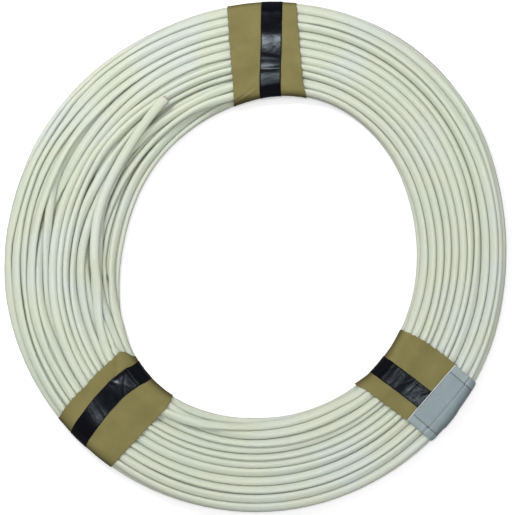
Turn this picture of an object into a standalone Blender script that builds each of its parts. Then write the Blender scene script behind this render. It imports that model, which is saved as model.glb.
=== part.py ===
"""A bound coil of flat two-core cable, lying on its side.

The cable is wound into a flat ring and held by three paper wraps, each pulled tight by a band of
electrical tape. A card label under a clear film is folded over the rim at one wrap. One cut end of the
cable lies loose on top. The axis of the coil is Z, and the tape bands rest on the plane Z = 0.
"""

import math

import bmesh
import bpy
from mathutils import Vector

# The flat cable: two cores side by side in one sheath.
CABLE_WIDTH = 0.0080
CABLE_THICKNESS = 0.0052
CORE_DIAMETER = 0.0027
CORE_SPACING = 0.0031
CONDUCTOR_DIAMETER = 0.0014
BORE_CLEARANCE = 0.0001
INSULATION_STANDS_OUT = 0.0004
CONDUCTOR_STANDS_OUT = 0.0008

# The winding, as a ring that is a little out of round. A lobe is (count, height, angle in degrees).
OUTER_RADIUS = 0.2295
OUTER_LOBES = ((1, 0.0010, 27), (2, 0.0045, 56), (3, 0.0027, 58), (4, 0.0011, -34), (5, 0.0006, -21))
HOLE_RADIUS = 0.1400
HOLE_LOBES = ((1, 0.0121, -15), (2, 0.0097, 65), (3, 0.0025, -32), (4, 0.0017, -38), (5, 0.0007, 4))
WINDING_HEIGHT = 0.0218
RIM_ROUNDING = 0.0090

# Sheet thicknesses, and the gap left between pieces that touch.
GAP = 0.0003
PAPER_THICKNESS = 0.0004
TAPE_THICKNESS = 0.0003
CARD_THICKNESS = 0.0003
FILM_THICKNESS = 0.0002

PAPER_WIDTH = 0.062
TAPE_WIDTH = 0.019

# For each binding: its name, then the angle round the coil and the skew from radial, in degrees, of its
# paper wrap and of its tape band.
BINDINGS = (
    ("top", (87.6, 7.3), (86.0, 4.5)),
    ("left", (227.2, -2.0), (225.0, 3.0)),
    ("right", (-38.7, 1.7), (-40.6, 3.3)),
)

# The label, which starts part way across the band and turns down over the rim.
LABEL_ANGLE = -37.7
LABEL_SKEW = -3.1
LABEL_START_RADIUS = 0.197
FILM_WIDTH = 0.066
FILM_END_BORDER = 0.007
FILM_TOP_BORDER = 0.0012
LABEL_END_HEIGHT = 0.0045

# How far each layer's inner face stands off the winding.
PAPER_OFFSET = GAP
TAPE_OFFSET = PAPER_OFFSET + PAPER_THICKNESS + GAP
CARD_OFFSET = TAPE_OFFSET + TAPE_THICKNESS + GAP
FILM_OFFSET = CARD_OFFSET + CARD_THICKNESS + GAP
WINDING_LOW = TAPE_OFFSET + TAPE_THICKNESS
WINDING_HIGH = WINDING_LOW + WINDING_HEIGHT

# The loose end's route over the top of the winding, from where it leaves the turns to its cut tip, as
# (x, y, height of its underside over the winding).
TAIL_ROUTE = (
    (-0.1440, -0.0250, 0.0003),
    (-0.1465, 0.0000, 0.0003),
    (-0.1455, 0.0260, 0.0003),
    (-0.1410, 0.0480, 0.0003),
    (-0.1340, 0.0660, 0.0003),
    (-0.1255, 0.0825, 0.0004),
    (-0.1160, 0.0985, 0.0005),
    (-0.1065, 0.1130, 0.0006),
    (-0.0970, 0.1260, 0.0008),
    (-0.0875, 0.1375, 0.0010),
    (-0.0780, 0.1470, 0.0012),
)

# The winding is drawn about its own centre, which stands here in the frame: the frame's origin is under
# the middle of the whole object.
WINDING_CENTRE = (0.00195, -0.00069, 0.0)

RING_SECTIONS = 96
CORNER_STEPS = 4
WRAP_COLUMNS = 8
TAPE_COLUMNS = 2
LABEL_COLUMNS = 8
STEPS_PER_ROUTE_POINT = 2
SHEATH_END_STEPS = 6


def clear_scene():
    for obj in list(bpy.data.objects):
        bpy.data.objects.remove(obj)


def new_collection(name):
    collection = bpy.data.collections.new(name)
    bpy.context.scene.collection.children.link(collection)
    return collection


def material(name, colour, roughness, metallic=0.0):
    made = bpy.data.materials.new(name)
    made.use_nodes = True
    shader = made.node_tree.nodes["Principled BSDF"]
    shader.inputs["Base Color"].default_value = (*colour, 1.0)
    shader.inputs["Roughness"].default_value = roughness
    shader.inputs["Metallic"].default_value = metallic
    return made


def lobed(radius, lobes, angle):
    """The radius of an out-of-round ring at this angle."""
    return radius + sum(
        height * math.cos(count * (angle - math.radians(at))) for count, height, at in lobes
    )


def outer_radius(angle):
    return lobed(OUTER_RADIUS, OUTER_LOBES, angle)


def hole_radius(angle):
    return lobed(HOLE_RADIUS, HOLE_LOBES, angle)


def arc(centre, radius, first, last):
    """Points (across, up) of an arc between two angles in degrees."""
    turns = (first + (last - first) * i / CORNER_STEPS for i in range(CORNER_STEPS + 1))
    return [
        (
            centre[0] + radius * math.cos(math.radians(turn)),
            centre[1] + radius * math.sin(math.radians(turn)),
        )
        for turn in turns
    ]


def band_section(inner, outer, offset=0.0):
    """The rounded section of the winding from inner to outer radius, grown outwards by offset."""
    rounding = RIM_ROUNDING + offset
    left, right = inner - offset + rounding, outer + offset - rounding
    low, high = WINDING_LOW - offset + rounding, WINDING_HIGH + offset - rounding
    return (
        arc((right, low), rounding, -90, 0)
        + arc((right, high), rounding, 0, 90)
        + arc((left, high), rounding, 90, 180)
        + arc((left, low), rounding, 180, 270)
    )


def rim_section(start, outer, offset):
    """The open path of the label: along the top from start, over the outer rim and down the side."""
    rounding = RIM_ROUNDING + offset
    right, high = outer + offset - rounding, WINDING_HIGH + offset - rounding
    over = arc((right, high), rounding, 90, 0)
    flat = [(start + (right - start) * i / 3, high + rounding) for i in range(3)]
    return flat + over + [(right + rounding, LABEL_END_HEIGHT)]


def grid_mesh(name, rows, close_rows, close_columns):
    """A mesh over rows of points, with its faces wound so that they point away from the winding."""
    mesh = bmesh.new()
    grid = [[mesh.verts.new(point) for point in row] for row in rows]
    count, length = len(grid), len(grid[0])
    for i in range(count if close_rows else count - 1):
        for j in range(length if close_columns else length - 1):
            here, beyond = grid[i], grid[(i + 1) % count]
            after = (j + 1) % length
            mesh.faces.new((here[j], here[after], beyond[after], beyond[j]))
    data = bpy.data.meshes.new(name)
    mesh.to_mesh(data)
    mesh.free()
    data.shade_smooth()
    return data


def place(obj, collection):
    """Puts the object in its collection, standing on the winding's centre."""
    obj.parent = bpy.data.objects["winding_centre"]
    collection.objects.link(obj)
    return obj


def add_object(name, data, look, collection):
    data.materials.append(look)
    return place(bpy.data.objects.new(name, data), collection)


def solidify(obj, thickness):
    """Grows an open sheet into a shell, outwards from the winding."""
    shell = obj.modifiers.new("thickness", "SOLIDIFY")
    shell.thickness = thickness
    shell.offset = 1.0
    shell.use_even_offset = True
    return obj


def make_winding(collection, look):
    """All the turns together, as one solid ring of their outer shape."""
    rows = []
    for i in range(RING_SECTIONS):
        angle = -2 * math.pi * i / RING_SECTIONS
        section = band_section(hole_radius(angle), outer_radius(angle))
        rows.append([(r * math.cos(angle), r * math.sin(angle), z) for r, z in section])
    return add_object("coil_winding", grid_mesh("coil_winding", rows, True, True), look, collection)


def crossing(start, heading, radius_at):
    """How far along heading from start a line leaves the outline that radius_at gives."""
    near, far = 0.0, 2 * OUTER_RADIUS
    for _ in range(40):
        middle = (near + far) / 2
        point = start + heading * middle
        inside = point.length < radius_at(math.atan2(point.y, point.x))
        near, far = (middle, far) if inside else (near, middle)
    return near


class Strip:
    """A straight strip laid across the band at an angle round the coil, skewed from radial."""

    def __init__(self, angle, skew):
        at, turned = math.radians(angle), math.radians(angle + skew)
        middle_radius = (hole_radius(at) + outer_radius(at)) / 2
        middle = Vector((math.cos(at), math.sin(at))) * middle_radius
        self.heading = Vector((math.cos(turned), math.sin(turned)))
        self.side = Vector((-self.heading.y, self.heading.x))
        self.foot = middle - self.heading * middle.dot(self.heading)

    def column(self, across, section_of):
        """The points of one column, where section_of takes the inner and the outer crossing."""
        start = self.foot + self.side * across
        inner = crossing(start, self.heading, hole_radius)
        outer = crossing(start, self.heading, outer_radius)
        points = []
        for along, up in section_of(inner, outer):
            flat = start + self.heading * along
            points.append((flat.x, flat.y, up))
        return points

    def sheet(self, name, width, columns, section_of, closed):
        steps = [width * (i / columns - 0.5) for i in range(columns + 1)]
        rows = [self.column(across, section_of) for across in reversed(steps)]
        return grid_mesh(name, rows, False, closed)


def make_sleeve(name, laid, width, columns, offset, thickness, look, collection):
    """A paper wrap or a tape band: a closed sleeve right round the band."""
    data = Strip(*laid).sheet(
        name, width, columns, lambda inner, outer: band_section(inner, outer, offset), True
    )
    return solidify(add_object(name, data, look, collection), thickness)


def make_label_sheet(name, borders, offset, thickness, look, collection):
    """The card or the film of the label, set in by borders = (at each end, at the edge on the band)."""
    end_border, top_border = borders
    start = LABEL_START_RADIUS + top_border
    data = Strip(LABEL_ANGLE, LABEL_SKEW).sheet(
        name,
        FILM_WIDTH - 2 * end_border,
        LABEL_COLUMNS,
        lambda inner, outer: rim_section(start, outer, offset)[::-1],
        False,
    )
    return solidify(add_object(name, data, look, collection), thickness)


def smooth_route(points, steps):
    """Points along a Catmull-Rom curve through the given ones."""
    ends = [points[0] * 2 - points[1], *points, points[-1] * 2 - points[-2]]
    route = []
    for i in range(len(points) - 1):
        a, b, c, d = ends[i : i + 4]
        for step in range(steps):
            t = step / steps
            route.append(
                0.5
                * (
                    2 * b
                    + (c - a) * t
                    + (2 * a - 5 * b + 4 * c - d) * t**2
                    + (3 * b - a - 3 * c + d) * t**3
                )
            )
    return [*route, points[-1].copy()]


def tail_centre():
    base = WINDING_HIGH + CABLE_THICKNESS / 2
    return smooth_route([Vector((x, y, base + up)) for x, y, up in TAIL_ROUTE], STEPS_PER_ROUTE_POINT)


def beside(route, distance):
    """The route moved sideways, level, by distance."""
    moved = []
    for i, point in enumerate(route):
        along = route[min(i + 1, len(route) - 1)] - route[max(i - 1, 0)]
        moved.append(point + Vector((-along.y, along.x, 0)).normalized() * distance)
    return moved


def lengthened(route, by):
    """The route run on past its last point."""
    along = (route[-1] - route[-2]).normalized()
    return [*route, route[-1] + along * by]


def route_curve(name, route):
    data = bpy.data.curves.new(name, "CURVE")
    data.dimensions = "3D"
    data.twist_mode = "Z_UP"
    data.use_fill_caps = True
    spline = data.splines.new("POLY")
    spline.points.add(len(route) - 1)
    for point, at in zip(spline.points, route, strict=True):
        point.co = (*at, 1.0)
    return data


def curve_to_mesh(name, data, collection):
    """The curve as a mesh object with its caps welded."""
    guide = bpy.data.objects.new(name + "_guide", data)
    collection.objects.link(guide)
    bpy.context.view_layer.update()
    evaluated = guide.evaluated_get(bpy.context.evaluated_depsgraph_get())
    made = bpy.data.meshes.new_from_object(evaluated)
    bpy.data.objects.remove(guide)
    mesh = bmesh.new()
    mesh.from_mesh(made)
    bmesh.ops.remove_doubles(mesh, verts=mesh.verts, dist=0.00001)
    bmesh.ops.recalc_face_normals(mesh, faces=mesh.faces)
    mesh.to_mesh(made)
    mesh.free()
    made.name = name
    return made


def round_tube(name, route, diameter, collection):
    data = route_curve(name, route)
    data.bevel_depth = diameter / 2
    data.bevel_resolution = 2
    return curve_to_mesh(name, data, collection)


def sheath_profile(collection):
    """The sheath's section, a flat bar with round edges, as a curve for the tube to follow."""
    radius = CABLE_THICKNESS / 2
    reach = CABLE_WIDTH / 2 - radius
    data = bpy.data.curves.new("sheath_profile", "CURVE")
    data.dimensions = "2D"
    data.fill_mode = "NONE"
    outline = []
    for centre, first in ((reach, -90), (-reach, 90)):
        for i in range(SHEATH_END_STEPS + 1):
            turn = math.radians(first + 180 * i / SHEATH_END_STEPS)
            outline.append((centre + radius * math.cos(turn), radius * math.sin(turn)))
    spline = data.splines.new("POLY")
    spline.points.add(len(outline) - 1)
    for point, (x, y) in zip(spline.points, outline, strict=True):
        point.co = (x, y, 0.0, 1.0)
    spline.use_cyclic_u = True
    profile = bpy.data.objects.new("sheath_profile", data)
    profile.hide_render = True
    profile.display_type = "WIRE"
    collection.objects.link(profile)
    return profile


def cut(obj, cutter):
    bore = obj.modifiers.new("bore", "BOOLEAN")
    bore.operation = "DIFFERENCE"
    bore.object = cutter


def cutter_object(name, data, collection):
    obj = bpy.data.objects.new(name, data)
    obj.hide_render = True
    obj.display_type = "WIRE"
    return place(obj, collection)


def make_tail(parts, cutters, looks):
    """The loose end: the sheath, and in it two insulated cores, each with its conductor."""
    centre = tail_centre()
    sheath_curve = route_curve("free_end_sheath", centre)
    sheath_curve.bevel_mode = "OBJECT"
    sheath_curve.bevel_object = sheath_profile(cutters)
    sheath_mesh = curve_to_mesh("free_end_sheath", sheath_curve, cutters)
    sheath = add_object("free_end_sheath", sheath_mesh, looks["sheath"], parts)
    past_the_ends = 0.004
    for name, side in (("blue", 1), ("brown", -1)):
        core = beside(centre, side * CORE_SPACING / 2)
        through = [core[0] * 2 - core[1], *lengthened(core, past_the_ends)]
        bore = round_tube(name + "_bore", through, CORE_DIAMETER + 2 * BORE_CLEARANCE, cutters)
        cut(sheath, cutter_object(name + "_bore", bore, cutters))
        cover_route = lengthened(core, INSULATION_STANDS_OUT)
        cover_mesh = round_tube(name + "_insulation", cover_route, CORE_DIAMETER, cutters)
        cover = add_object("free_end_insulation_" + name, cover_mesh, looks[name], parts)
        hollow = round_tube(name + "_hollow", through, CONDUCTOR_DIAMETER + 2 * BORE_CLEARANCE, cutters)
        cut(cover, cutter_object(name + "_hollow", hollow, cutters))
        wire_route = lengthened(core, CONDUCTOR_STANDS_OUT)
        wire = round_tube(name + "_wire", wire_route, CONDUCTOR_DIAMETER, cutters)
        add_object("free_end_conductor_" + name, wire, looks["copper"], parts)


def main():
    clear_scene()
    parts = new_collection("cable_coil")
    cutters = new_collection("cutters")
    centre = bpy.data.objects.new("winding_centre", None)
    centre.location = WINDING_CENTRE
    parts.objects.link(centre)
    looks = {
        "sheath": material("sheath_pvc", (0.68, 0.71, 0.60), 0.42),
        "blue": material("blue_insulation", (0.03, 0.14, 0.50), 0.40),
        "brown": material("brown_insulation", (0.16, 0.06, 0.02), 0.40),
        "copper": material("copper", (0.72, 0.36, 0.20), 0.30, 1.0),
        "paper": material("kraft_paper", (0.28, 0.25, 0.10), 0.85),
        "tape": material("black_tape", (0.010, 0.010, 0.012), 0.30),
        "card": material("label_card", (0.36, 0.44, 0.50), 0.60),
        "film": material("label_film", (0.42, 0.50, 0.56), 0.25),
    }
    make_winding(parts, looks["sheath"])
    make_tail(parts, cutters, looks)
    paper_sheet = (PAPER_WIDTH, WRAP_COLUMNS, PAPER_OFFSET, PAPER_THICKNESS, looks["paper"])
    tape_sheet = (TAPE_WIDTH, TAPE_COLUMNS, TAPE_OFFSET, TAPE_THICKNESS, looks["tape"])
    for name, paper_laid, tape_laid in BINDINGS:
        make_sleeve("paper_wrap_" + name, paper_laid, *paper_sheet, parts)
        make_sleeve("tape_band_" + name, tape_laid, *tape_sheet, parts)
    borders = (FILM_END_BORDER, FILM_TOP_BORDER)
    make_label_sheet("label_card", borders, CARD_OFFSET, CARD_THICKNESS, looks["card"], parts)
    make_label_sheet("label_film", (0.0, 0.0), FILM_OFFSET, FILM_THICKNESS, looks["film"], parts)


main()
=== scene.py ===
"""The looks of a bound coil of flat two-core cable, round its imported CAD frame.

The cable is one continuous tube, 50 m long: its turns are laid in layers, and then settled against each
other, the floor and the coil's outline. The paper wraps are draped over the turns, the tape over the
paper, and the label over both.
"""

import math

import bpy
import numpy as np
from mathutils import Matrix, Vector, noise
from mathutils.bvhtree import BVHTree


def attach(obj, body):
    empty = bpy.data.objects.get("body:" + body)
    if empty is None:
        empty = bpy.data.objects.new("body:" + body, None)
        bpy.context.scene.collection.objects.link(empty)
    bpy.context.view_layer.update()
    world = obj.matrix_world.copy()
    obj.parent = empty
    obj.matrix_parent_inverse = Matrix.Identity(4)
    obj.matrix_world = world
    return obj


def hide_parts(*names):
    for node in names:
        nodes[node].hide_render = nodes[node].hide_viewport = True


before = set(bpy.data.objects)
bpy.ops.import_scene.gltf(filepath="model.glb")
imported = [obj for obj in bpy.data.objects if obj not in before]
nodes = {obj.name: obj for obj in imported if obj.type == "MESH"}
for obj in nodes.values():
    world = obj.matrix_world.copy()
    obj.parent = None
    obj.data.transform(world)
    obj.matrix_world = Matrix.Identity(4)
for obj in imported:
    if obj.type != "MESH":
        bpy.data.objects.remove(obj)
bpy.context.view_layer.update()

MM = 0.001

# The flat cable, as in part.py.
CABLE_WIDTH = 8.0 * MM
CABLE_THICKNESS = 5.2 * MM
CORE_DIAMETER = 2.7 * MM
CORE_SPACING = 3.1 * MM
CONDUCTOR_DIAMETER = 1.4 * MM
INSULATION_STANDS_OUT = 0.4 * MM
CONDUCTOR_STANDS_OUT = 0.8 * MM
CORES_START_INSIDE = 4 * MM
CUT_EDGE_ROUNDING = 0.12 * MM
CUT_EDGE_NARROWS = 0.86
EDGE_RADIUS = CABLE_THICKNESS / 2
HALF_FLAT = (CABLE_WIDTH - CABLE_THICKNESS) / 2

# The winding's centre, and the loose end's route measured from it, both repeated from part.py. A point of
# the route is (x, y, height of the cable's underside over the winding).
WINDING_CENTRE = Vector((0.00195, -0.00069, 0.0))
TAIL_ROUTE = (
    (-0.1440, -0.0250, 0.0003),
    (-0.1465, 0.0000, 0.0003),
    (-0.1455, 0.0260, 0.0003),
    (-0.1410, 0.0480, 0.0003),
    (-0.1340, 0.0660, 0.0003),
    (-0.1255, 0.0825, 0.0004),
    (-0.1160, 0.0985, 0.0005),
    (-0.1065, 0.1130, 0.0006),
    (-0.0970, 0.1260, 0.0008),
    (-0.0875, 0.1375, 0.0010),
    (-0.0780, 0.1470, 0.0012),
)

# The winding. Turns run clockwise from under the right wrap, and change places opposite it.
TURNS = 43
STATIONS = 120
START_ANGLE = math.radians(-30)
FLOOR_OF_TURNS = 1.3 * MM
WINDING_TOP = FLOOR_OF_TURNS + 21.8 * MM
SECTION_POINTS = 18

# A layer is (its turns, how far across the band it starts and ends). Where the band is wide the turns
# lie loose, in fewer layers, with the hole's edge left lower and the turns there standing on edge.
PACKED_LAYERS = ((10, 0.02, 0.98), (11, 0.0, 1.0), (11, 0.0, 1.0), (11, 0.03, 0.97))
LOOSE_LAYERS = ((16, 0.0, 1.0), (16, 0.03, 1.0), (11, 0.42, 1.0))
ON_EDGE_TILT = math.radians(75)
ON_EDGE_WITHIN = 0.50
ON_EDGE_EASES_OVER = 0.30
ON_EDGE_STEADIES = 0.7
# About the width of the band and the height of a layer, to weigh a move across against a move up.
SLOT_SHAPE = (0.095, CABLE_THICKNESS)
LAYERS_SPREAD = 1.02
# How far the turns tilt, in degrees, and in how many stations their tilt and their radius waver.
PACKED_TILT = 38
LOOSE_TILT_ADDS = 20
TILT_WAVERS_OVER = 45
RADIUS_WAVERS_OVER = 17

# How the turns settle, in steps. The bundle's corners are rounded. Each disc is pushed by the discs that
# are nearest to it, less by each where it is crowded, and sinks a little, less once it is late. The cable
# is eased along its length by its stiffness, but not in the last steps.
EDGE_ROUNDING = 4.5 * MM
SETTLING_STEPS = 260
NEIGHBOURS = 14
NEIGHBOURS_LAST = 12
UNEASED_STEPS = 12
NO_NEIGHBOUR = 9.0
CROWDING = 0.45
DISC_PUSH = 0.5
RIM_PUSH = 0.5
FLOOR_PUSH = 0.8
SINKS = 0.030 * MM
SINKS_LATE = 0.008 * MM
LATE = 0.85 * SETTLING_STEPS
MOST_TURNING = 0.12
UNTWISTING = 0.02
STIFFNESS = 0.25
TWIST_STIFFNESS = 0.20
HOLD = 0.7

# The loose end: how much of the last turn leads to its route, how soon it climbs on top and rests there,
# the radius to which it bridges hollows in the turns under it, and how its tip rises.
LEADS_OVER = math.radians(90)
LED_WITHIN = math.radians(80)
CLIMBS_OVER = math.radians(25)
TILT_LEFT = 0.1
RESTS_ONCE_LIFTED = 0.08
LOOSE_END_BRIDGES = 600 * MM
TIP_RISE = 1.2 * MM
TIP_RISES_OVER = 70 * MM
# The points past the tip aren't part of the cable, and wait far over it.
PARKED_HEIGHT = 1.0
PARKED_STEP = 0.05


class Kind:
    """A kind of sheet: its slot, its thickness, how far its middle stands off what is under it, the
    radius to which it bridges hollows, and how many times its heights are averaged along it."""

    def __init__(self, slot, thickness, stand_off, bridges, smoothing=0):
        self.slot, self.thickness, self.stand_off = slot, thickness, stand_off
        self.bridges, self.smoothing = bridges, smoothing


# The sheets. CLEARANCE is between the turns and the paper, and GAP is the least space left anywhere.
CLEARANCE = 0.25 * MM
GAP = 0.1 * MM
PAPER_THICKNESS = 0.35 * MM
TAPE_THICKNESS = 0.18 * MM
PAPER = Kind("kraft_paper", PAPER_THICKNESS, CLEARANCE + GAP + PAPER_THICKNESS / 2, 60 * MM, 10)
TAPE = Kind("black_tape", TAPE_THICKNESS, PAPER_THICKNESS / 2 + TAPE_THICKNESS + GAP, 80 * MM, 30)
CARD = Kind("label_card", 0.30 * MM, 0.5 * MM, 60 * MM)
FILM = Kind("label_film", 0.12 * MM, 1.0 * MM, 60 * MM)
LABEL_FOLDS = ((CARD, 1.0 * MM), (FILM, 0.9 * MM))
WRAPS = ("top", "left", "right")
# Pressed in between the turns, the paper's edge has this many scallops once round.
SCALLOPS = 32

# A sheet is laid by casting rays in from a loop round the band, at steps across the sheet.
LOOP_STANDS_OFF = 7.0 * MM
LOOP_POINTS = 280
SHEET_STEP = 1.1 * MM
RAY_REACH = 30 * MM
NOTHING_UNDER = 16 * MM
# The band is all between these distances from the winding's centre.
NEAREST_BAND = 0.09
FURTHEST_BAND = 0.26

# Where the paper's two edges and the tape's middle line leave the straight, in millimetres, against the
# part of the way round the band: 0.25 is at the hole, 0.5 over the middle and 0.75 at the outer rim.
PAPER_EDGES = {
    "top": (
        ((0.25, 1.5), (0.30, 0.8), (0.36, -0.8), (0.60, -0.8), (0.75, -0.3)),
        ((0.25, 2.3), (0.37, 1.5), (0.50, 1.5), (0.62, 1.2), (0.75, 0.3)),
    ),
    "left": (
        ((0.25, -9), (0.30, -6), (0.325, 1), (0.36, 5), (0.375, 3.2), (0.43, 4.6), (0.60, 4), (0.70, 1)),
        ((0.25, -4.5), (0.30, -3.2), (0.36, -0.6), (0.50, 0.3), (0.75, 2.0)),
    ),
    "right": (
        ((0.25, 2.0), (0.29, 1.4), (0.35, 0.0), (0.75, -0.8)),
        ((0.25, 0.0), (0.33, 1.5), (0.42, 5.0), (0.52, 5.5), (0.62, 3.5), (0.75, 2.0)),
    ),
}
TAPE_LINES = {
    "top": ((0.25, 1.4), (0.36, 2.4), (0.50, 1.0), (0.75, -0.5)),
    "left": (
        (0.25, 2.0), (0.32, 1.4), (0.38, -2.6), (0.435, -5.2), (0.53, -5.4), (0.66, -2.5), (0.72, -0.6)
    ),
    "right": ((0.25, -0.6), (0.40, 0.4), (0.75, 0.0)),
}


# ------------------------ helpers


def node_points(name):
    """The CAD node's vertices, measured from the winding's centre."""
    mesh = nodes[name].data
    points = np.empty(len(mesh.vertices) * 3)
    mesh.vertices.foreach_get("co", points)
    return points.reshape(-1, 3) - np.array(WINDING_CENTRE)


def smoothstep(value):
    value = np.clip(value, 0.0, 1.0)
    return value * value * (3 - 2 * value)


def wavering(count, spacing, random):
    """Smooth random values, about one up and down for every two spacings."""
    knots = random.normal(0, 1, int(count / spacing) + 4)
    at = np.arange(count) / spacing
    low = at.astype(int)
    part = smoothstep(at - low)
    return knots[low] * (1 - part) + knots[low + 1] * part


def closed_up(heights, apart, bridges):
    """Fills the hollows of each row of heights that are tighter than the radius that bridges them."""
    rise = apart**2 / (2 * bridges)
    spread = (heights[:, None, :] - rise).max(axis=2)
    return (spread[:, None, :] + rise).min(axis=2)


def scene_object(name, data):
    obj = bpy.data.objects.new(name, data)
    bpy.context.scene.collection.objects.link(obj)
    return obj


def new_object(name, data, material):
    """A piece of the coil, which rides on its only body."""
    obj = scene_object(name, data)
    data.materials.append(material)
    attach(obj, "root")
    return obj


def mesh_from(name, points, faces, sharp_degrees=None):
    data = bpy.data.meshes.new(name)
    data.from_pydata([tuple(p) for p in points], [], [tuple(f) for f in faces])
    data.shade_smooth()
    if sharp_degrees is not None:
        data.set_sharp_from_angle(angle=math.radians(sharp_degrees))
    return data


def grid_faces(rows, columns, close_columns=False):
    across = np.arange(columns if close_columns else columns - 1)
    row, column = np.meshgrid(np.arange(rows - 1), across, indexing="ij")
    beside = (column + 1) % columns
    corners = [row * columns + column, row * columns + beside]
    corners += [(row + 1) * columns + beside, (row + 1) * columns + column]
    return np.stack(corners, axis=-1).reshape(-1, 4)


def set_uv(data, name, values):
    """A UV map from one (u, v) per vertex."""
    layer = data.uv_layers.new(name=name)
    loops = np.empty(len(data.loops), np.int32)
    data.loops.foreach_get("vertex_index", loops)
    layer.data.foreach_set("uv", np.asarray(values, np.float32)[loops].reshape(-1))


# ------------------------ the outline of the winding


def measure_outline():
    """The winding's outer and hole radius at each angle of the CAD ring."""
    points = node_points("coil_winding")
    angles = np.round(np.arctan2(points[:, 1], points[:, 0]), 3)
    radii = np.hypot(points[:, 0], points[:, 1])
    steps = np.unique(angles)
    outer = np.array([radii[angles == step].max() for step in steps])
    hole = np.array([radii[angles == step].min() for step in steps])
    return steps, outer, hole


OUTLINE_ANGLES, OUTLINE_OUTER, OUTLINE_HOLE = measure_outline()


def outer_radius(angle):
    return np.interp(angle, OUTLINE_ANGLES, OUTLINE_OUTER, period=2 * math.pi)


def hole_radius(angle):
    return np.interp(angle, OUTLINE_ANGLES, OUTLINE_HOLE, period=2 * math.pi)


NARROW_BAND = (OUTLINE_OUTER - OUTLINE_HOLE).min()
WIDE_BAND = (OUTLINE_OUTER - OUTLINE_HOLE).max()


def looseness(angle):
    """From 0 where the band is narrow and its turns are packed, to 1 where they spread out."""
    return (outer_radius(angle) - hole_radius(angle) - NARROW_BAND) / (WIDE_BAND - NARROW_BAND)


# ------------------------ the cable


def slots_of(layers):
    """A place (across from 0 to 1, layer) for each turn, laid out and back, layer on layer."""
    slots = []
    for layer, (count, first, last) in enumerate(layers):
        across = np.linspace(first, last, count)
        slots += [(place, layer) for place in (across if layer % 2 == 0 else across[::-1])]
    return np.array(slots)


def nearest_order(places, targets):
    """The order of the targets that moves the places least, found by swapping pairs."""
    cost = ((places[:, None] - targets[None]) ** 2).sum(axis=2)
    order = list(range(len(places)))
    swapped = True
    while swapped:
        swapped = False
        for i in range(len(order)):
            for j in range(i):
                now = cost[i, order[i]] + cost[j, order[j]]
                if cost[i, order[j]] + cost[j, order[i]] < now - 1e-9:
                    order[i], order[j] = order[j], order[i]
                    swapped = True
    return order


def first_places(angle, random):
    """Where each point of the cable starts: turn after turn, layer on layer, in and out again.

    Gives its radius and height, and from 0 to 1 how far it stands on edge.
    """
    packed, loose = slots_of(PACKED_LAYERS), slots_of(LOOSE_LAYERS)
    squashed = packed * (1, (len(LOOSE_LAYERS) - 1) / (len(PACKED_LAYERS) - 1))
    loose = loose[nearest_order(squashed * SLOT_SHAPE, loose * SLOT_SHAPE)]
    turn, part = np.divmod(np.arange(len(angle)), STATIONS)
    part = part / STATIONS
    middle = 0.5 + random.uniform(-0.07, 0.07, TURNS)[turn]
    width = random.uniform(0.16, 0.30, TURNS)[turn]
    ramp = smoothstep((part - middle) / width + 0.5)[:, None]
    after = np.minimum(turn + 1, TURNS - 1)
    spread_out = smoothstep(looseness(angle))[:, None]
    places = (packed[turn] * (1 - ramp) + packed[after] * ramp) * (1 - spread_out)
    places += (loose[turn] * (1 - ramp) + loose[after] * ramp) * spread_out
    hole, outer = hole_radius(angle), outer_radius(angle)
    radius = hole + CABLE_WIDTH / 2 + places[:, 0] * (outer - hole - CABLE_WIDTH)
    radius += (0.8 + 0.6 * looseness(angle)) * MM * wavering(len(angle), RADIUS_WAVERS_OVER, random)
    height = FLOOR_OF_TURNS + EDGE_RADIUS + places[:, 1] * CABLE_THICKNESS * LAYERS_SPREAD
    on_edge = looseness(angle) * smoothstep((ON_EDGE_WITHIN - places[:, 0]) / ON_EDGE_EASES_OVER)
    return radius, height, on_edge


def eased(values, last, amount):
    """Moves each point of the cable towards the middle of its two neighbours, as its stiffness does."""
    line = values.reshape(-1)[: last + 1]
    line[1:-1] += amount * ((line[:-2] + line[2:]) / 2 - line[1:-1])


def discs_of(radius, height, tilt):
    """The middles (x, z) of every section's two discs, and how far (across, up) they are from its own."""
    across, up = np.cos(tilt) * HALF_FLAT, np.sin(tilt) * HALF_FLAT
    x = np.concatenate([radius - across, radius + across])
    z = np.concatenate([height - up, height + up])
    return x, z, across, up


def nearest_discs(x, z):
    """For each disc, the discs of other turns that are nearest to it at its station."""
    apart = (x[:, None] - x[None]) ** 2 + (z[:, None] - z[None]) ** 2
    itself = np.arange(2 * TURNS)
    beside = (itself + TURNS) % (2 * TURNS)
    apart[itself, itself] = apart[itself, beside] = NO_NEIGHBOUR
    return np.argpartition(apart, NEIGHBOURS, axis=1)[:, :NEIGHBOURS]


def pushes(x, z, near, low, high):
    """How far each disc is pushed, across and up, by the discs near it, by the rims and by the floor."""
    stations = np.arange(STATIONS)
    dx, dz = x[:, None] - x[near, stations], z[:, None] - z[near, stations]
    distance = np.hypot(dx, dz) + 1e-9
    overlap = np.clip(CABLE_THICKNESS - distance, 0, None)
    crowd = np.maximum(1, CROWDING * (overlap > 0).sum(axis=1))
    share = DISC_PUSH * overlap / distance / crowd[:, None]
    half_height = len(PACKED_LAYERS) * CABLE_THICKNESS / 2 - EDGE_RADIUS
    mid_height = FLOOR_OF_TURNS + EDGE_RADIUS + half_height
    over = np.clip(np.abs(z - mid_height) - half_height + EDGE_ROUNDING, 0, EDGE_ROUNDING)
    inset = EDGE_ROUNDING - np.sqrt(EDGE_ROUNDING**2 - over**2)
    past_edge = np.clip(low + inset - x, 0, None) - np.clip(x - high + inset, 0, None)
    past_floor = np.clip(FLOOR_OF_TURNS + EDGE_RADIUS - z, 0, None)
    across = (dx * share).sum(axis=1) + RIM_PUSH * past_edge
    up = (dz * share).sum(axis=1) + FLOOR_PUSH * past_floor
    return across, up


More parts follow.
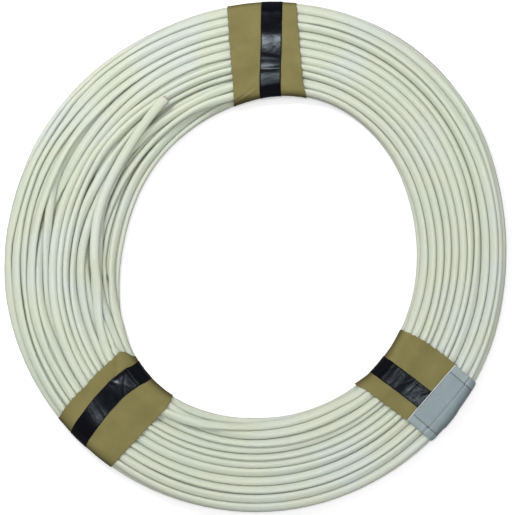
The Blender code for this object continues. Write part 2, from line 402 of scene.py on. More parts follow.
def settle(radius, height, tilt, held, lifted, last, hole, outer):
    """Pushes the turns apart, down and inside the outline, keeping the cable smooth along its length.

    A section is two discs, one for each round edge of the flat cable. Each array is turns by stations.
    held and lifted, from 0 to 1, are how firmly each point keeps to the radius and height it starts at.
    """
    wanted_radius, wanted_height, wanted_tilt = radius.copy(), height.copy(), tilt.copy()
    live = (np.arange(radius.size) <= last).reshape(radius.shape)
    low = np.concatenate([hole, hole]) + EDGE_RADIUS
    high = np.concatenate([outer, outer]) - EDGE_RADIUS
    for step in range(SETTLING_STEPS):
        x, z, across, up = discs_of(radius, height, tilt)
        if step % NEIGHBOURS_LAST == 0:
            near = nearest_discs(x, z)
        move_x, move_z = pushes(x, z, near, low, high)
        inner_x, outer_x = move_x[:TURNS], move_x[TURNS:]
        inner_z, outer_z = move_z[:TURNS], move_z[TURNS:]
        turning = ((outer_z - inner_z) * across - (outer_x - inner_x) * up) / (2 * HALF_FLAT**2)
        turning = np.where(live, np.clip(turning, -MOST_TURNING, MOST_TURNING), 0)
        sinking = SINKS if step < LATE else SINKS_LATE
        radius += np.where(live, (inner_x + outer_x) / 2, 0)
        height += np.where(live, (inner_z + outer_z) / 2 - sinking, 0)
        tilt += turning + UNTWISTING * (wanted_tilt - tilt)
        if step < SETTLING_STEPS - UNEASED_STEPS:
            eased(radius, last, STIFFNESS)
            eased(height, last, STIFFNESS)
            eased(tilt, last, TWIST_STIFFNESS)
        radius += HOLD * held * (wanted_radius - radius)
        height += HOLD * lifted * (wanted_height - height)
    for values in (radius, height, tilt):
        eased(values, last, STIFFNESS)


def rest_loose_end(radius, height, tilt, lifted, count):
    """Lowers the loose end, in the last turn's first count points, onto the turns under it."""
    place = (slice(None, -1), slice(count))
    x, z = discs_of(radius[place], height[place], tilt[place])[:2]
    over = []
    for edge in (-HALF_FLAT, HALF_FLAT):
        beside = np.abs(radius[-1, :count] + edge - x)
        touching = z + np.sqrt(np.clip(CABLE_THICKNESS**2 - beside**2, 0, None))
        over.append(np.where(beside < CABLE_THICKNESS, touching, 0).max(axis=0))
    along = radius[-1, :count].mean() * 2 * math.pi / STATIONS * np.arange(count)
    support = np.maximum(*over)[None]
    resting = closed_up(support, np.abs(along[:, None] - along[None]), LOOSE_END_BRIDGES)[0]
    resting += TIP_RISE * smoothstep((along - along[-1]) / TIP_RISES_OVER + 1)
    rests = smoothstep(lifted[-1, :count] / RESTS_ONCE_LIFTED)
    height[-1, :count] += rests * (resting - height[-1, :count])


def lead_out(angle, radius, height, tilt):
    """Leads the end of the cable out of the turns, onto the loose end's route, lying flat.

    Gives the number of the cable's last point, and how firmly each point is held to its radius and lifted
    to its height.
    """
    route = np.array(TAIL_ROUTE)
    route_angle = np.unwrap(np.arctan2(route[:, 1], route[:, 0]))
    # The loose end leaves the last turn, so its angles are counted on from that turn's.
    first = (TURNS - 1) * STATIONS
    route_angle -= 2 * math.pi * np.ceil((route_angle[0] - angle[first]) / (2 * math.pi))
    route_radius = np.hypot(route[:, 0], route[:, 1])
    point = np.arange(len(angle))
    on_route = point[(angle <= route_angle[0]) & (angle >= route_angle[-1])]
    before = point[(angle > route_angle[0]) & (angle < route_angle[0] + LEADS_OVER)]
    last = on_route[-1]

    along = -angle[on_route]
    radius[on_route] = np.interp(along, -route_angle, route_radius)
    height[on_route] = WINDING_TOP + EDGE_RADIUS + np.interp(along, -route_angle, route[:, 2])
    height[last + 1 :] = PARKED_HEIGHT + PARKED_STEP * np.arange(len(angle) - last - 1)
    led = smoothstep((route_angle[0] + LEADS_OVER - angle[before]) / LED_WITHIN)
    beside_hole = hole_radius(angle[before]) + route_radius[0] - hole_radius(route_angle[0])
    radius[before] += led * (beside_hole - radius[before])
    tilt[before] *= 1 - (1 - TILT_LEFT) * led
    tilt[on_route] *= TILT_LEFT

    held, lifted = np.zeros(len(angle)), np.zeros(len(angle))
    held[on_route] = 1.0
    held[before] = led**2
    lifted[on_route] = smoothstep((route_angle[1] - angle[on_route]) / CLIMBS_OVER)
    return last, held, lifted


def wind_cable():
    """The cable's centreline, measured from the winding's centre, and its tilt at each point."""
    random = np.random.default_rng(3)
    angle = START_ANGLE - 2 * math.pi * np.arange(TURNS * STATIONS) / STATIONS
    radius, height, on_edge = first_places(angle, random)
    widest = np.radians(PACKED_TILT + LOOSE_TILT_ADDS * looseness(angle))
    tilt = widest * wavering(len(angle), TILT_WAVERS_OVER, random)
    tilt = tilt * (1 - ON_EDGE_STEADIES * on_edge) + ON_EDGE_TILT * on_edge
    last, held, lifted = lead_out(angle, radius, height, tilt)

    shape = (TURNS, STATIONS)
    columns = [values.reshape(shape) for values in (radius, height, tilt, held, lifted)]
    hole, outer = hole_radius(angle).reshape(shape), outer_radius(angle).reshape(shape)
    settle(*columns, last, hole, outer)
    rest_loose_end(*columns[:3], columns[4], last % STATIONS + 1)
    eased(columns[1], last, 0.5)
    keep = slice(0, last + 1)
    x, y = radius[keep] * np.cos(angle[keep]), radius[keep] * np.sin(angle[keep])
    return np.stack([x, y, height[keep]], axis=1), tilt[keep]


def section_outline():
    """The cable's section, (across, up), all the way round: an oval, a little fuller than an ellipse."""
    outline = []
    for i in range(SECTION_POINTS):
        turn = 2 * math.pi * i / SECTION_POINTS
        fuller = 1 + 0.035 * math.sin(2 * turn) ** 2
        outline.append((CABLE_WIDTH / 2 * math.cos(turn) * fuller, EDGE_RADIUS * math.sin(turn) * fuller))
    return np.array(outline)


def cable_frames(line, tilt):
    """Unit vectors along the cable, across its flat side and out of it, at each point."""
    along = np.gradient(line, axis=0)
    along /= np.linalg.norm(along, axis=1, keepdims=True)
    level = np.cross((0.0, 0.0, 1.0), along)
    level /= np.linalg.norm(level, axis=1, keepdims=True)
    normal = np.cross(along, level)
    cos, sin = np.cos(tilt)[:, None], np.sin(tilt)[:, None]
    return along, level * cos + normal * sin, normal * cos - level * sin


def sweep(line, side, up, outline):
    """Rings of the outline round the line, flattened to one list of points."""
    across, out = outline[None, :, :1], outline[None, :, 1:]
    rings = line[:, None] + across * side[:, None] + out * up[:, None]
    return rings.reshape(-1, 3)


def tube_faces(rings, count):
    """The faces of a tube of rings of count points, closed at both ends."""
    faces = grid_faces(rings, count, close_columns=True).tolist()
    faces.append(list(range(count))[::-1])
    faces.append(list(range((rings - 1) * count, rings * count)))
    return faces


def disc(radius, count=24):
    turns = 2 * np.pi * np.arange(count) / count
    return np.stack([radius * np.cos(turns), radius * np.sin(turns)], axis=1)


def tube_object(name, line, side, up, outline, material, slot):
    """A closed tube of this outline along the line, with its edge at the far end rounded off."""
    rings, count = len(line), len(outline)
    points = sweep(line, side, up, outline).reshape(rings, count, 3)
    points[-1] = line[-1] + CUT_EDGE_NARROWS * (points[-1] - line[-1])
    placed = points.reshape(-1, 3) + np.array(WINDING_CENTRE)
    data = mesh_from(name, placed, tube_faces(rings, count), sharp_degrees=50)
    return new_object(name, data, material)


def make_cut_end(line, tilt, looks):
    """The two cores and their conductors, standing a little out of the sheath's cut end."""
    along, side, up = (values[-1] for values in cable_frames(line, tilt))
    for colour, place in (("blue", -CORE_SPACING / 2), ("brown", CORE_SPACING / 2)):
        centre = line[-1] + side * place
        for kind, diameter, stands_out in (
            ("insulation", CORE_DIAMETER, INSULATION_STANDS_OUT),
            ("conductor", CONDUCTOR_DIAMETER, CONDUCTOR_STANDS_OUT),
        ):
            reach = np.array((-CORES_START_INSIDE, 0.0, stands_out - CUT_EDGE_ROUNDING, stands_out))
            stub = centre + reach[:, None] * along
            frame_of = np.tile(side, (4, 1)), np.tile(up, (4, 1))
            slot = "conductor_copper" if kind == "conductor" else f"insulation_{colour}"
            name = f"cut_end_{kind}_{colour}"
            piece = tube_object(name, stub, *frame_of, disc(diameter / 2), looks[slot], slot)
            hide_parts(f"free_end_{kind}_{colour}")


def make_cable(line, tilt, material):
    """The whole cable. Gives its surface, measured from the winding's centre."""
    outline = section_outline()
    _, side, up = cable_frames(line, tilt)
    points = sweep(line, side, up, outline) + np.array(WINDING_CENTRE)
    count, rings = len(outline), len(line)
    faces = tube_faces(rings, count)
    data = mesh_from("cable", points, faces, sharp_degrees=60)
    steps = np.linalg.norm(np.diff(line, axis=0), axis=1)
    length = np.concatenate([[0], np.cumsum(steps)])
    around = np.tile(np.arange(count) / count, rings)
    set_uv(data, "cable", np.stack([around, np.repeat(length, count)], axis=1))
    cable = new_object("cable", data, material)
    surface = BVHTree.FromPolygons([tuple(p) for p in points - np.array(WINDING_CENTRE)], faces)
    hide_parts("coil_winding", "free_end_sheath")
    print("cable length", round(float(length[-1]), 2), "m")
    return surface


# ------------------------ sheets laid over the winding


class Lie:
    """How a CAD strip lies across the band: its heading, its width, and where its middle line runs."""

    def __init__(self, name):
        points = node_points(name)
        flat = points[:, :2]
        middle = flat.mean(axis=0)
        turns = math.atan2(middle[1], middle[0]) + np.radians(np.arange(-12, 12, 0.1))
        across = np.outer(-np.sin(turns), flat[:, 0]) + np.outer(np.cos(turns), flat[:, 1])
        best = np.ptp(across, axis=1).argmin()
        self.heading = np.array((math.cos(turns[best]), math.sin(turns[best])))
        self.side = np.array((-self.heading[1], self.heading[0]))
        self.width = np.ptp(across[best])
        self.middle = (across[best].min() + across[best].max()) / 2
        self.start = (flat @ self.heading).min()
        self.lowest = points[:, 2].min()

    def crossings(self, across):
        """Where the line at this distance across meets the hole, and where it leaves the winding."""
        along = np.linspace(NEAREST_BAND, FURTHEST_BAND, 400)
        flat = along[:, None] * self.heading + across * self.side
        angle, radius = np.arctan2(flat[:, 1], flat[:, 0]), np.hypot(flat[:, 0], flat[:, 1])
        inner = np.interp(0, radius - hole_radius(angle), along)
        outer = np.interp(0, radius - outer_radius(angle), along)
        return inner, outer


class Loop:
    """A closed line standing off the band's section, from under its middle round the hole's side and on
    over the top. parts run from 0 to 1 along it."""

    def __init__(self, inner, outer):
        deep = (WINDING_TOP - FLOOR_OF_TURNS) / 2
        self.mid_height = FLOOR_OF_TURNS + deep
        self.bend = deep + LOOP_STANDS_OFF
        self.first, self.last = inner + deep, outer - deep
        self.straight = self.last - self.first
        self.length = 2 * self.straight + 2 * math.pi * self.bend

    def at(self, parts):
        """(along, up), and the way out of the loop as (along, up)."""
        gone = np.asarray(parts) * self.length
        half, turn = self.straight / 2, math.pi * self.bend
        turned = np.clip((gone - half) / self.bend, 0, math.pi)
        turned += np.clip((gone - half - turn - self.straight) / self.bend, 0, math.pi)
        centre = (self.first + self.last) / 2 - np.clip(gone, 0, half)
        centre += np.clip(gone - half - turn, 0, self.straight)
        centre -= np.clip(gone - half - 2 * turn - self.straight, 0, half)
        out = np.stack([np.cos(-math.pi / 2 - turned), np.sin(-math.pi / 2 - turned)], axis=1)
        points = out * self.bend
        points[:, 0] += centre
        points[:, 1] += self.mid_height
        return points, out

    def part_over(self, along):
        """The part of the loop that is over the top at this distance along."""
        return (self.straight / 2 + math.pi * self.bend + along - self.first) / self.length

    def part_beside(self, height):
        """The part of the loop that is down the outer side at this height."""
        turned = math.pi / 2 - math.asin((height - self.mid_height) / self.bend)
        return (1.5 * self.straight + math.pi * self.bend + turned * self.bend) / self.length


def depths_under(base, away, surfaces):
    """How far in from each point of the loop the first of the surfaces is."""
    depths = []
    for start, way in zip(base, away, strict=True):
        hits = [tree.ray_cast(Vector(start), Vector(-way), RAY_REACH)[3] for tree in surfaces]
        depths.append(min([hit for hit in hits if hit is not None], default=NOTHING_UNDER))
    return np.array(depths)


def lay_sheet(lie, surfaces, kind, shape, span=None):
    """Points of a sheet pulled over the surfaces, columns by loop points, and its two maps: the flat
    (along, across) in metres, and the (part, place) of each point.

    shape takes the place across, from -1 to 1, and the parts of the loop, and gives a shift sideways and
    a lift. span, where the sheet isn't a closed sleeve, gives the parts of the loop where it starts and
    ends.
    """
    columns = max(8, round(lie.width / SHEET_STEP)) + 1
    count = LOOP_POINTS if span is None else LOOP_POINTS // 2
    bases, outs, heights, lifts, flats, marks = [], [], [], [], [], []
    for place in np.linspace(-1, 1, columns):
        middle = lie.middle + place * lie.width / 2
        loop = Loop(*lie.crossings(middle))
        parts = np.arange(count) / count if span is None else np.linspace(*span(loop), count)
        points, out = loop.at(parts)
        shift, lift = shape(place, parts)
        flat = points[:, :1] * lie.heading + (middle + shift)[:, None] * lie.side
        base = np.column_stack([flat, points[:, 1]])
        away = np.column_stack([out[:, :1] * lie.heading, out[:, 1]])
        bases.append(base)
        outs.append(away)
        heights.append(-depths_under(base, away, surfaces))
        lifts.append(lift)
        flats.append(np.column_stack([(parts - parts[0]) * loop.length, middle + shift]))
        marks.append(np.column_stack([parts, np.full(count, place)]))
    apart = np.abs(parts[:, None] * loop.length - parts[None] * loop.length)
    if span is None:
        apart = np.minimum(apart, loop.length - apart)
    heights = closed_up(np.array(heights), apart, kind.bridges)
    for _ in range(2):
        heights[1:-1] = heights[1:-1] / 2 + (heights[:-2] + heights[2:]) / 4
    for _ in range(kind.smoothing):
        heights = heights / 2 + (np.roll(heights, 1, axis=1) + np.roll(heights, -1, axis=1)) / 4
    raised = heights + kind.stand_off + np.array(lifts)
    points = np.array(bases) + np.array(outs) * raised[..., None]
    points[..., 2] = np.maximum(points[..., 2], lie.lowest + GAP)
    return points, (np.array(flats), np.array(marks))


def sheet_object(name, points, maps, closed, kind, material, node):
    """The sheet's object, given its thickness, in place of the CAD node."""
    rows, columns = points.shape[:2]
    faces = grid_faces(rows, columns, close_columns=closed)
    data = mesh_from(name, points.reshape(-1, 3) + np.array(WINDING_CENTRE), faces)
    for layer, values in zip(("flat", "mark"), maps, strict=True):
        set_uv(data, layer, values.reshape(-1, 2))
    sheet = new_object(name, data, material)
    thicken = sheet.modifiers.new("thickness", "SOLIDIFY")
    thicken.thickness = kind.thickness
    thicken.offset = 0
    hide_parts(node)


def tree_of(points):
    """The surface of a closed sleeve."""
    faces = grid_faces(*points.shape[:2], close_columns=True)
    return BVHTree.FromPolygons([tuple(p) for p in points.reshape(-1, 3)], faces.tolist())


def hump(values, middle, spread):
    return np.exp(-(((np.asarray(values) - middle) / spread) ** 2))


def ripple(seed, place, parts, fineness, along=30.0):
    """Smooth unevenness from -1 to 1, the same at both ends of the loop."""
    turns = 2 * math.pi * np.asarray(parts)
    near = along / (2 * math.pi)
    return np.array(
        [
            noise.noise(Vector((near * math.cos(t), near * math.sin(t), place * fineness + 9.7 * seed)))
            for t in turns
        ]
    )


def drawn(line, parts):
    """The millimetres that a line of (part, millimetres) gives, with its corners eased, in metres."""
    at, values = np.array(line).T
    return sum(np.interp(parts + ease, at, values) for ease in (-0.012, 0.0, 0.012)) / 3 * MM


def paper_shape(seed, edges, details):
    """The paper's drawn edges, its own unevenness, and edges that stand a little off the turns."""

    def shape(place, parts):
        edge = drawn(edges[0] if place < 0 else edges[1], parts)
        uneven = ripple(seed, 3 * np.sign(place), parts, 1.0, 50.0)
        scallops = np.sin(2 * math.pi * (SCALLOPS * parts + 0.8 * uneven)) * hump(parts, 0.5, 0.2)
        shift = place * (edge + (0.45 * uneven + 0.35 * scallops) * MM)
        lift = 0.20 * MM * ripple(seed + 5, place, parts, 2.5)
        near_edge = (max(0.0, abs(place) - 0.72) / 0.28) ** 2
        curl = 0.4 + 0.4 * ripple(seed + 9, place, parts, 2.0, 60.0)
        lift += near_edge * curl * MM * hump(parts, 0.5, 0.22)
        return shift, lift + details(place, parts)

    return shape


def top_paper_details(place, parts):
    """Two creases that run from the corner at the hole towards the tape."""
    side = smoothstep((place - 0.25) / 0.2)
    lift = 0.9 * MM * hump(parts, 0.275 + 0.10 * (1 - place), 0.0045)
    lift += 0.6 * MM * hump(parts, 0.300 + 0.13 * (1 - place), 0.0045)
    return side * lift


def left_paper_details(place, parts):
    """The corner at the hole, which is folded back on itself up to a slanting crease."""
    crease = 0.372 + 0.12 * (place + 1)
    side = smoothstep((-0.56 - place) / 0.08)
    doubled = smoothstep((crease - parts) / 0.006) * smoothstep((parts - 0.28) / 0.05)
    return side * (1.4 * doubled - 0.6 * hump(parts, crease + 0.006, 0.004)) * MM


def right_paper_details(place, parts):
    """The corner at the hole that stands away from the turns."""
    return 1.8 * MM * smoothstep((-0.45 - place) / 0.55) * hump(parts, 0.27, 0.045)


PAPER_DETAILS = {"top": top_paper_details, "left": left_paper_details, "right": right_paper_details}


def tape_shape(seed, line):
    """The tape's middle line, and its few stretch wrinkles, which slant across it."""
    random = np.random.default_rng(seed)
    wrinkles = [
        (0.45 + random.normal(0, 0.05), random.normal(0, 0.022), random.uniform(0.10, 0.25) * MM)
        for _ in range(6)
    ]

    def shape(place, parts):
        shift = 0.25 * MM * ripple(seed, place, parts, 0.4) + drawn(line, parts)
        lift = 0.10 * MM * ripple(seed + 3, place, parts, 1.2, 30.0)
        for middle, slant, height in wrinkles:
            fading = hump(place, np.sign(slant), 1.3)
            lift += height * hump(parts, middle + slant * place, 0.0055) * fading
        return shift, lift

    return shape


def label_shape(seed, fold):
    """A sharp fold along the label, where it starts down over the rim, and slight waves."""

    def shape(place, parts):
        lift = 0.18 * MM * ripple(seed, place, parts, 1.5)
        lift += fold * (hump(parts, parts[0] + 0.070, 0.005) - 0.4 * hump(parts, parts[0] + 0.083, 0.006))
        return np.zeros(len(parts)), lift

    return shape


def make_sleeve(name, node, surfaces, kind, shape, looks):
    """A closed sleeve in place of the CAD node, laid over the surfaces. Gives its own surface."""
    points, maps = lay_sheet(Lie(node), surfaces, kind, shape)
    sheet_object(name, points, maps, True, kind, looks[kind.slot], node)
    return tree_of(points)


def make_wraps(surface, looks):
    """The three paper wraps, each with its tape band. Gives every surface that the label can lie on."""
    surfaces = [surface]
    for seed, where in enumerate(WRAPS):
        node = f"paper_wrap_{where}"
        shape = paper_shape(seed + 1, PAPER_EDGES[where], PAPER_DETAILS[where])
        paper = make_sleeve(f"{node}_sheet", node, [surface], PAPER, shape, looks)
        node = f"tape_band_{where}"
        shape = tape_shape(seed + 4, TAPE_LINES[where])
        tape = make_sleeve(f"{node}_strip", node, [surface, paper], TAPE, shape, looks)
        surfaces += [paper, tape]
    return surfaces


def make_label(surfaces, looks):
    """The card and the clear film over it, from part way across the band to down the outer side."""
    for kind, fold in LABEL_FOLDS:
        node = kind.slot
        lie = Lie(node)

        def span(loop, lie=lie):
            return loop.part_over(lie.start), loop.part_beside(lie.lowest)

        points, maps = lay_sheet(lie, surfaces, kind, label_shape(7, fold), span)
        sheet_object(f"{node}_sheet", points, maps, False, kind, looks[node], node)


# ------------------------ materials


def new_material(name, roughness, specular=0.5):
    material = bpy.data.materials.new(name)
    material.use_nodes = True
    shader = material.node_tree.nodes["Principled BSDF"]
    shader.inputs["Roughness"].default_value = roughness
    shader.inputs["Specular IOR Level"].default_value = specular
    return material, material.node_tree, shader


def add_node(tree, kind, **settings):
    """A node, with each setting given to the input of that name, or else to the node."""
    node = tree.nodes.new(kind)
    for key, value in settings.items():
        if key in node.inputs:
            node.inputs[key].default_value = value
        else:
            setattr(node, key, value)
    return node


def set_or_link(tree, socket, value):
    if isinstance(value, bpy.types.NodeSocket):
        tree.links.new(value, socket)
    else:
        socket.default_value = value


def object_place(tree):
    return tree.nodes.new("ShaderNodeTexCoord").outputs["Object"]


def uv_map(tree, name):
    return add_node(tree, "ShaderNodeUVMap", uv_map=name).outputs["UV"]


def axis_of(tree, vector, axis):
    split = tree.nodes.new("ShaderNodeSeparateXYZ")
    tree.links.new(vector, split.inputs[0])
    return split.outputs[axis]


def worked_out(tree, operation, first, second=0.0):
    """What a Math node gives for a socket, and another socket or a number."""
    node = add_node(tree, "ShaderNodeMath", operation=operation)
    set_or_link(tree, node.inputs[0], first)
    set_or_link(tree, node.inputs[1], second)
    return node.outputs[0]


def noise_texture(tree, vector, scale, detail=4.0, roughness=0.5):
    texture = add_node(tree, "ShaderNodeTexNoise", Scale=scale, Detail=detail, Roughness=roughness)
    tree.links.new(vector, texture.inputs["Vector"])
    return texture.outputs["Fac"]


def stretched(tree, source, scale):
    mapping = add_node(tree, "ShaderNodeMapping", Scale=scale)
    tree.links.new(source, mapping.inputs["Vector"])
    return mapping.outputs["Vector"]


def colour_ramp(tree, factor, stops):
    ramp = tree.nodes.new("ShaderNodeValToRGB")
    while len(ramp.color_ramp.elements) < len(stops):
        ramp.color_ramp.elements.new(0.5)
    for element, (position, colour) in zip(ramp.color_ramp.elements, stops, strict=True):
        element.position = position
        element.color = (*colour, 1.0)
    tree.links.new(factor, ramp.inputs["Fac"])
    return ramp.outputs["Color"]


def mixed(tree, factor, first, second, blend="MIX"):
    """The colour that a Mix node gives, by the numbers of its sockets for colours."""
    mix = add_node(tree, "ShaderNodeMix", data_type="RGBA", blend_type=blend)
    for number, value in ((0, factor), (6, first), (7, second)):
        set_or_link(tree, mix.inputs[number], value)
    return mix.outputs[2]


def bumped(tree, shader, heights):
    """Chains one Bump node for each (height, distance, strength)."""
    normal = None
    for height, distance, strength in heights:
        bump = add_node(tree, "ShaderNodeBump", Distance=distance, Strength=strength)
        tree.links.new(height, bump.inputs["Height"])
        if normal is not None:
            tree.links.new(normal, bump.inputs["Normal"])
        normal = bump.outputs["Normal"]
    tree.links.new(normal, shader.inputs["Normal"])


def value_range(tree, value, low, high):
    convert = add_node(tree, "ShaderNodeMapRange", **{"To Min": low, "To Max": high})
    tree.links.new(value, convert.inputs["Value"])
    return convert.outputs["Result"]


def marked(tree, axis):
    """The part of the way round the band (X), or the place across the sheet (Y), as a number."""
    return axis_of(tree, uv_map(tree, "mark"), axis)


def distance_from(tree, value, middle):
    return worked_out(tree, "ABSOLUTE", worked_out(tree, "SUBTRACT", value, middle))


def between(tree, value, low, high):
    """From 0 at low to 1 at high, eased at both ends."""
    convert = add_node(tree, "ShaderNodeMapRange", interpolation_type="SMOOTHSTEP")
    convert.inputs["From Min"].default_value = low
    convert.inputs["From Max"].default_value = high
    tree.links.new(value, convert.inputs["Value"])
    return convert.outputs["Result"]


def rim_shade_mask(tree, start, end):
    """From 0 over the middle of the band to 1 at the hole's and the outer rim: the mask for painted rim
    shade.
    """
    return between(tree, distance_from(tree, marked(tree, "X"), 0.5), start, end)


def pvc_material():
    """Off-white cable sheath: milky, satin, with faint lines drawn along it and a little grime."""
    material, tree, shader = new_material("sheath_pvc", 0.4, 0.45)
    shader.inputs["Subsurface Weight"].default_value = 0.8
    shader.inputs["Subsurface Radius"].default_value = (0.0048, 0.0048, 0.0042)
    shader.inputs["Subsurface Scale"].default_value = 1.0
    place = object_place(tree)
    uv = uv_map(tree, "cable")
    drift = noise_texture(tree, place, 14.0, 3.0)
    tones = (
        (0.34, (0.540, 0.595, 0.500)),
        (0.50, (0.570, 0.600, 0.495)),
        (0.66, (0.560, 0.605, 0.555)),
    )
    tone = colour_ramp(tree, drift, tones)
    lengthwise = noise_texture(tree, stretched(tree, uv, (34.0, 3.0, 1.0)), 1.0, 3.0)
    grime = noise_texture(tree, stretched(tree, uv, (10.0, 60.0, 1.0)), 1.0, 6.0, 0.65)
    worn = value_range(tree, grime, 0.0, 0.16)
    tone = mixed(tree, worn, tone, (0.36, 0.37, 0.28, 1.0))
    tree.links.new(tone, shader.inputs["Base Color"])
    tree.links.new(value_range(tree, lengthwise, 0.26, 0.42), shader.inputs["Roughness"])
    bumped(tree, shader, ((lengthwise, 0.00010, 0.5), (grime, 0.00006, 0.5)))
    return material


def insulation_material(name, colour, shade):
    """Core insulation: plain PVC, a little uneven where the knife has cut it."""
    material, tree, shader = new_material(name, 0.4, 0.5)
    place = object_place(tree)
    uneven = noise_texture(tree, place, 900.0, 3.0)
    tree.links.new(mixed(tree, uneven, colour, shade), shader.inputs["Base Color"])
    bumped(tree, shader, ((uneven, 0.0001, 0.4),))
    return material


def copper_material():
    """Bare copper, with the marks of the cutter."""
    material, tree, shader = new_material("conductor_copper", 0.3)
    shader.inputs["Metallic"].default_value = 1.0
    place = object_place(tree)
    cut = noise_texture(tree, stretched(tree, place, (3000.0, 600.0, 600.0)), 1.0, 3.0)
    tone = mixed(tree, cut, (0.93, 0.48, 0.30, 1.0), (0.60, 0.28, 0.16, 1.0))
    tree.links.new(tone, shader.inputs["Base Color"])
    tree.links.new(value_range(tree, cut, 0.22, 0.5), shader.inputs["Roughness"])
    bumped(tree, shader, ((cut, 0.00005, 0.5),))
    return material


def kraft_material():
    """Brown wrapping paper: matt and fibrous, with painted shade darkening it towards the hole's and the
    outer rim.
    """
    material, tree, shader = new_material("kraft_paper", 0.82, 0.25)
    uv = uv_map(tree, "flat")
    drift = noise_texture(tree, uv, 45.0, 4.0)
    fibres = noise_texture(tree, stretched(tree, uv, (2600.0, 700.0, 1.0)), 1.0, 5.0, 0.7)
    folds = noise_texture(tree, stretched(tree, uv, (90.0, 260.0, 1.0)), 1.0, 3.0)
    tones = (
        (0.30, (0.172, 0.152, 0.055)),
        (0.55, (0.200, 0.177, 0.065)),
        (0.75, (0.228, 0.200, 0.077)),
    )
    tone = colour_ramp(tree, drift, tones)
    tone = mixed(tree, value_range(tree, fibres, 0.0, 0.35), tone, (0.14, 0.12, 0.045, 1.0))
    # Painted shade: the paper darkens towards the hole's and the outer rim, where it turns down out of
    # the light.
    tone = mixed(tree, rim_shade_mask(tree, 0.17, 0.25), tone, (0.45, 0.40, 0.36, 1.0), blend="MULTIPLY")
    tree.links.new(tone, shader.inputs["Base Color"])
    bumped(tree, shader, ((folds, 0.0004, 0.35), (fibres, 0.00008, 0.6)))
    return material


def tape_material():
    """Black PVC tape: glossy, with fine stretch lines and smudges."""
    material, tree, shader = new_material("black_tape", 0.3, 0.5)
    shader.inputs["Base Color"].default_value = (0.004, 0.004, 0.006, 1.0)
    shader.inputs["Specular Tint"].default_value = (0.80, 0.92, 1.0, 1.0)
    uv = uv_map(tree, "flat")
    smudge = noise_texture(tree, uv, 130.0, 5.0, 0.6)
    lines = noise_texture(tree, stretched(tree, uv, (260.0, 60.0, 1.0)), 1.0, 3.0)
    tree.links.new(value_range(tree, smudge, 0.14, 0.34), shader.inputs["Roughness"])
    shine = between(tree, distance_from(tree, marked(tree, "X"), 0.49), 0.13, 0.03)
    tree.links.new(value_range(tree, shine, 0.06, 0.46), shader.inputs["Specular IOR Level"])
    bumped(tree, shader, ((lines, 0.0004, 0.35), (smudge, 0.0003, 0.35)))
    return material


def card_material():
    """The label's card, blank, pale grey blue, with painted shade where it turns down over the outer rim
    and a painted shadow line near each end.
    """
    material, tree, shader = new_material("label_card", 0.55, 0.3)
    uv = uv_map(tree, "flat")
    drift = noise_texture(tree, uv, 60.0, 4.0)
    tone = colour_ramp(tree, drift, ((0.3, (0.235, 0.295, 0.325)), (0.7, (0.275, 0.335, 0.360))))
    # Painted shadow: a dark line near both ends of the card, where the film over it steps down at its
    # edge.
    end_shadow_lines = between(tree, distance_from(tree, marked(tree, "Y"), 0.0), 0.93, 0.96)
    tone = mixed(tree, end_shadow_lines, tone, (0.10, 0.13, 0.14, 1.0))
    # Painted shade: darker where the card turns down over the outer rim.
    tone = mixed(tree, rim_shade_mask(tree, 0.15, 0.25), tone, (0.45, 0.45, 0.45, 1.0), blend="MULTIPLY")
    tree.links.new(tone, shader.inputs["Base Color"])
    grain = noise_texture(tree, uv, 1500.0, 3.0)
    bumped(tree, shader, ((drift, 0.0003, 0.15), (grain, 0.00002, 0.3)))
    return material


def film_material():
    """Clear film that has hazed: it lets most of what is under it through, and shines.

    It is hazier towards its two ends across the label. Along the cut edge where it starts it is lighter
    and more opaque: a painted highlight of the edge catching the light.
    """
    material, tree, shader = new_material("label_film", 0.22, 0.5)
    uv = uv_map(tree, "flat")
    haze = noise_texture(tree, uv, 70.0, 5.0, 0.6)
    tree.links.new(value_range(tree, haze, 0.20, 0.42), shader.inputs["Roughness"])
    ends = between(tree, distance_from(tree, marked(tree, "Y"), 0.0), 0.77, 0.80)
    # Painted highlight: the film is lighter and more opaque along its cut edge.
    cut_edge_glint = between(tree, axis_of(tree, uv, "X"), 1.1 * MM, 0.4 * MM)
    tone = mixed(tree, cut_edge_glint, (0.37, 0.45, 0.47, 1.0), (0.62, 0.68, 0.68, 1.0))
    tree.links.new(tone, shader.inputs["Base Color"])
    at_ends = value_range(tree, ends, 0.0, 0.42)
    at_edge = value_range(tree, cut_edge_glint, 0.0, 0.55)
    haze_and_edge_glint = worked_out(tree, "MAXIMUM", at_ends, at_edge)
    opacity_with_glint = worked_out(tree, "ADD", value_range(tree, haze, 0.05, 0.25), haze_and_edge_glint)
    tree.links.new(opacity_with_glint, shader.inputs["Alpha"])
    bumped(tree, shader, ((haze, 0.0004, 0.2),))
    return material


def make_looks():
    """The material for each slot."""
    blue, dark_blue = (0.030, 0.110, 0.400, 1.0), (0.020, 0.075, 0.280, 1.0)
    brown, dark_brown = (0.150, 0.050, 0.022, 1.0), (0.100, 0.034, 0.016, 1.0)
    return {
        "sheath_pvc": pvc_material(),
        "kraft_paper": kraft_material(),
        "black_tape": tape_material(),
        "label_card": card_material(),
        "label_film": film_material(),
        "insulation_blue": insulation_material("insulation_blue", blue, dark_blue),
        "insulation_brown": insulation_material("insulation_brown", brown, dark_brown),
        "conductor_copper": copper_material(),
    }


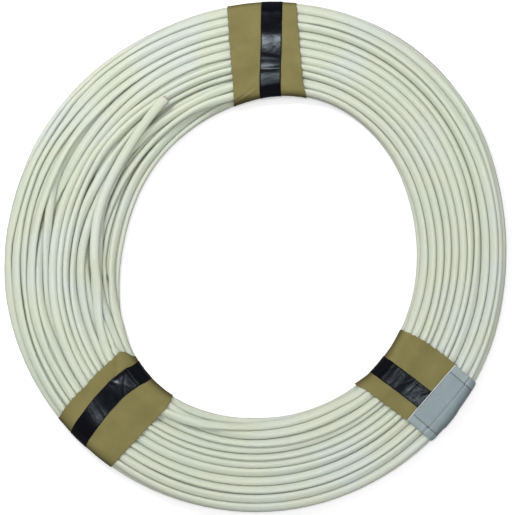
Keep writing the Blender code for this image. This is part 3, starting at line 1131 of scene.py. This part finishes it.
def floor_material():
    """A pale floor that throws little of its light back up at the coil, so the rims stay shaded."""
    material, tree, shader = new_material("pale_floor", 0.9, 0.1)
    place = object_place(tree)
    speckle = noise_texture(tree, place, 40.0, 2.0)
    pale = colour_ramp(tree, speckle, ((0.3, (0.90, 0.90, 0.90)), (0.7, (0.93, 0.93, 0.93))))
    seen = tree.nodes.new("ShaderNodeLightPath").outputs["Is Camera Ray"]
    tree.links.new(mixed(tree, seen, (0.20, 0.20, 0.20, 1.0), pale), shader.inputs["Base Color"])
    tree.links.new(mixed(tree, seen, (0, 0, 0, 1), (1, 1, 1, 1)), shader.inputs["Emission Color"])
    shader.inputs["Emission Strength"].default_value = 0.30
    return material


# ------------------------ stage


def make_stage():
    """The floor, which isn't part of the object."""
    reach = 6.0
    data = bpy.data.meshes.new("floor")
    corners = [(-reach, -reach, 0), (reach, -reach, 0), (reach, reach, 0), (-reach, reach, 0)]
    data.from_pydata(corners, [], [(0, 1, 2, 3)])
    data.materials.append(floor_material())
    scene_object("floor", data)


def add_light(name, place, size, power, glints=True):
    """A soft round lamp aimed at the middle. Without glints it lights but isn't mirrored in anything."""
    data = bpy.data.lights.new(name, "AREA")
    data.shape = "DISK"
    data.size = size
    data.energy = power
    light = scene_object(name, data)
    light.location = place
    light.rotation_euler = (-Vector(place)).to_track_quat("-Z", "Y").to_euler()
    light.visible_glossy = glints


def make_lights():
    """An even white surround, dark overhead where it is mirrored, and four soft lamps."""
    world = bpy.data.worlds.new("soft_white")
    world.use_nodes = True
    tree = world.node_tree
    up = axis_of(tree, tree.nodes.new("ShaderNodeTexCoord").outputs["Generated"], "Z")
    tones = ((0.0, (0.72, 0.72, 0.72)), (0.45, (0.66, 0.66, 0.66)), (0.9, (0.05, 0.05, 0.06)))
    mirrored = colour_ramp(tree, up, tones)
    glossy = tree.nodes.new("ShaderNodeLightPath").outputs["Is Glossy Ray"]
    tone = mixed(tree, glossy, (0.56, 0.56, 0.56, 1.0), mirrored)
    tree.links.new(tone, tree.nodes["Background"].inputs["Color"])
    bpy.context.scene.world = world
    add_light("key", (-0.42, 0.60, 0.95), 0.28, 7.2, glints=False)
    add_light("fill", (0.8, 0.6, 1.9), 1.4, 3.6, glints=False)
    add_light("overhead", (-0.12, 0.20, 2.1), 0.36, 9.5)
    add_light("low_right", (0.48, -0.42, 2.1), 0.16, 1.5)


def make_camera():
    """Straight above the winding's centre, the frame's sides as wide as the view of the coil."""
    height, view_width, mid_coil = 1.45, 0.466, 0.013
    data = bpy.data.cameras.new("camera")
    data.sensor_width = 36.0
    data.lens = data.sensor_width * (height - mid_coil) / view_width
    camera = scene_object("camera", data)
    camera.location = WINDING_CENTRE + Vector((0, 0, height))
    bpy.context.scene.camera = camera
    bpy.context.scene.view_settings.view_transform = "Standard"


def main():
    make_camera()
    make_lights()
    make_stage()
    looks = make_looks()
    line, tilt = wind_cable()
    surface = make_cable(line, tilt, looks["sheath_pvc"])
    make_cut_end(line, tilt, looks)
    surfaces = make_wraps(surface, looks)
    make_label(surfaces, looks)


main()
